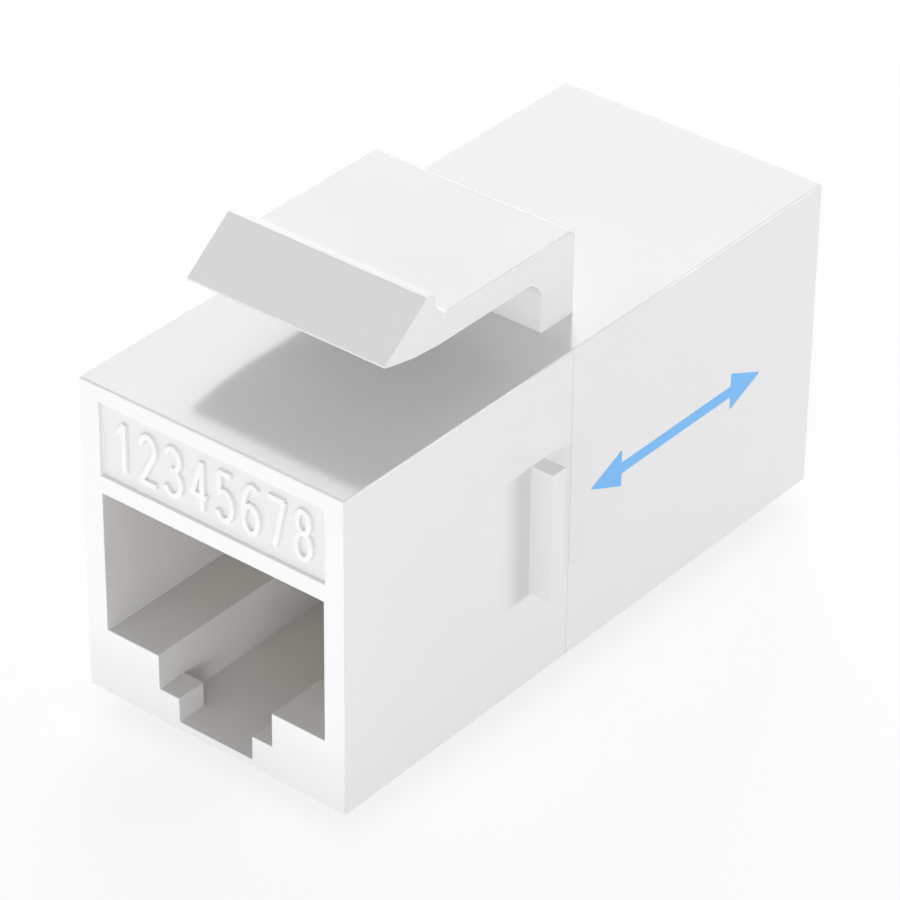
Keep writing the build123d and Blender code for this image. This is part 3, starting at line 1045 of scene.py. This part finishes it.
class COUPLER_OT_stage(bpy.types.Operator):
    """Set up the floor, the lamps, the sky and the camera"""

    bl_idname = "coupler.stage"
    bl_label = "Stage"

    def execute(self, context):
        settings = context.scene.coupler_stage
        self.floor(context, settings)
        self.sky(context, settings)
        for name, angles in STRIPS.items():
            self.strip(context, settings, name, *(radians(degrees) for degrees in angles))
        self.table_lamp(context, settings)
        for name, angles in SOFT_BOXES.items():
            self.soft_box(context, settings, name, *(radians(degrees) for degrees in angles))
        self.camera(context, settings)
        return {"FINISHED"}

    def floor(self, context, settings):
        """A wide white floor that stays bright to the camera and in gloss, and keeps the coupler's shadow."""
        bpy.ops.object.select_all(action="DESELECT")
        bpy.ops.mesh.primitive_plane_add(size=settings.floor_size, location=(0, 0, 0))
        floor = context.object
        floor.name = "floor"
        material = bpy.data.materials.new("White floor")
        material.use_nodes = True
        tree = material.node_tree
        tree.nodes.clear()
        bounce = node(tree, "BsdfDiffuse", {"Color": grey(settings.floor_white)}).outputs[0]
        shadow = node(tree, "BsdfDiffuse", {"Color": grey(settings.floor_shade)}).outputs[0]
        glow = node(tree, "Emission", {"Strength": settings.floor_glow}).outputs[0]
        seen = node(tree, "AddShader", {0: shadow, 1: glow}).outputs[0]
        both = node(tree, "MixShader", {0: straight_rays(tree), 1: bounce, 2: seen}).outputs[0]
        underneath = node(tree, "NewGeometry").outputs["Backfacing"]
        clear = node(tree, "BsdfTransparent").outputs[0]
        surface = node(tree, "MixShader", {0: underneath, 1: both, 2: clear}).outputs[0]
        node(tree, "OutputMaterial", {"Surface": surface})
        floor.data.materials.append(material)

    def sky(self, context, settings):
        """Even white light, and pure white where the camera sees past the floor."""
        world = bpy.data.worlds.new("Studio")
        context.scene.world = world
        world.use_nodes = True
        tree = world.node_tree
        levels = {0: straight_rays(tree), 2: settings.sky, 3: 1.0}
        strength = node(tree, "Mix", levels, data_type="FLOAT").outputs[0]
        fill(tree, tree.nodes["Background"], {"Color": grey(1.0), "Strength": strength})

    def strip(self, context, settings, name, azimuth, half_width, low, high):
        """An upright strip lamp on the ring round the coupler, between two angles above the floor."""
        ring = settings.ring
        bottom, top = ring * tan(low), ring * tan(high)
        away = direction(azimuth, 0)
        place = away * ring + Vector((0, 0, (bottom + top) / 2))
        size = (2 * ring * tan(half_width), top - bottom)
        self.lamp(context, f"{name}_strip", size, getattr(settings, name), place, away)

    def table_lamp(self, context, settings):
        """Light thrown up by the table in front of the coupler."""
        size = (settings.table_width, settings.table_depth)
        middle = FACE_Y - settings.table_gap - settings.table_depth / 2
        place = Vector((0, middle, settings.table_rise))
        self.lamp(context, "table_lamp", size, settings.table, place, Vector((0, 0, -1)))

    def soft_box(self, context, settings, name, low, high):
        """A soft box on the ring opposite the camera, which the top of the coupler mirrors."""
        ring, middle = settings.ring, (low + high) / 2
        away = direction(settings.azimuth + pi, middle)
        size = (2 * ring * tan(settings.box_width / 2) * cos(middle), 2 * ring * tan((high - low) / 2))
        self.lamp(context, f"{name}_box", size, getattr(settings, f"box_{name}"), away * ring, away)

    def lamp(self, context, name, size, strength, place, away):
        """A rectangular lamp at a place, facing back along the direction away, hidden from the camera."""
        light = bpy.data.lights.new(name, "AREA")
        light.shape = "RECTANGLE"
        light.size, light.size_y = size
        light.energy = strength * pi * light.size * light.size_y
        lamp = bpy.data.objects.new(name, light)
        context.scene.collection.objects.link(lamp)
        lamp.location = place
        lamp.rotation_mode = "QUATERNION"
        lamp.rotation_quaternion = away.to_track_quat("Z", "Y")
        lamp.visible_camera = False

    def camera(self, context, settings):
        """The camera at the photograph's angle, distance and lens."""
        data = bpy.data.cameras.new("photo_camera")
        camera = bpy.data.objects.new("photo_camera", data)
        context.scene.collection.objects.link(camera)
        data.lens = settings.lens
        data.sensor_width = 36.0
        data.clip_start = 0.01
        data.clip_end = 10.0
        away = direction(settings.azimuth, settings.elevation)
        camera.rotation_mode = "QUATERNION"
        upright = away.to_track_quat("Z", "Y")
        camera.rotation_quaternion = upright @ Matrix.Rotation(settings.roll, 3, "Z").to_quaternion()
        camera.location = Vector(settings.aim) + away * settings.distance
        context.scene.camera = camera
        context.scene.view_settings.view_transform = "Standard"


OPERATORS = (
    COUPLER_OT_front_housing,
    COUPLER_OT_rear_housing,
    COUPLER_OT_label_numbers,
    COUPLER_OT_side_arrow,
    COUPLER_OT_contacts,
    COUPLER_OT_carriers,
    COUPLER_OT_circuit_board,
    COUPLER_OT_stage,
)


class COUPLER_PT_panel(bpy.types.Panel):
    """Lists the steps that model and finish the coupler"""

    bl_label = "Inline Coupler"
    bl_idname = "COUPLER_PT_panel"
    bl_space_type = "VIEW_3D"
    bl_region_type = "UI"
    bl_category = "Coupler"

    def draw(self, context):
        for operator in OPERATORS:
            self.layout.operator(operator.bl_idname)


SETTINGS = {
    "coupler_housing": HousingSizes,
    "coupler_port": PortSizes,
    "coupler_latch": LatchSizes,
    "coupler_carrier": CarrierSizes,
    "coupler_contact": ContactSizes,
    "coupler_marks": MarkSizes,
    "coupler_finish": Finish,
    "coupler_stage": StageSettings,
}
CLASSES = (*SETTINGS.values(), *OPERATORS, COUPLER_PT_panel)


def register():
    """Add the settings, the operators and the panel."""
    for each in CLASSES:
        bpy.utils.register_class(each)
    for name, group in SETTINGS.items():
        setattr(bpy.types.Scene, name, bpy.props.PointerProperty(type=group))


def unregister():
    """Take the settings, the operators and the panel away again."""
    for name in SETTINGS:
        delattr(bpy.types.Scene, name)
    for each in reversed(CLASSES):
        bpy.utils.unregister_class(each)


def main():
    """Make every piece and the stage."""
    register()
    bpy.ops.coupler.front_housing()
    bpy.ops.coupler.rear_housing()
    bpy.ops.coupler.label_numbers()
    bpy.ops.coupler.side_arrow()
    bpy.ops.coupler.contacts()
    bpy.ops.coupler.carriers()
    bpy.ops.coupler.circuit_board()
    bpy.ops.coupler.stage()


if __name__ == "__main__":
    main()
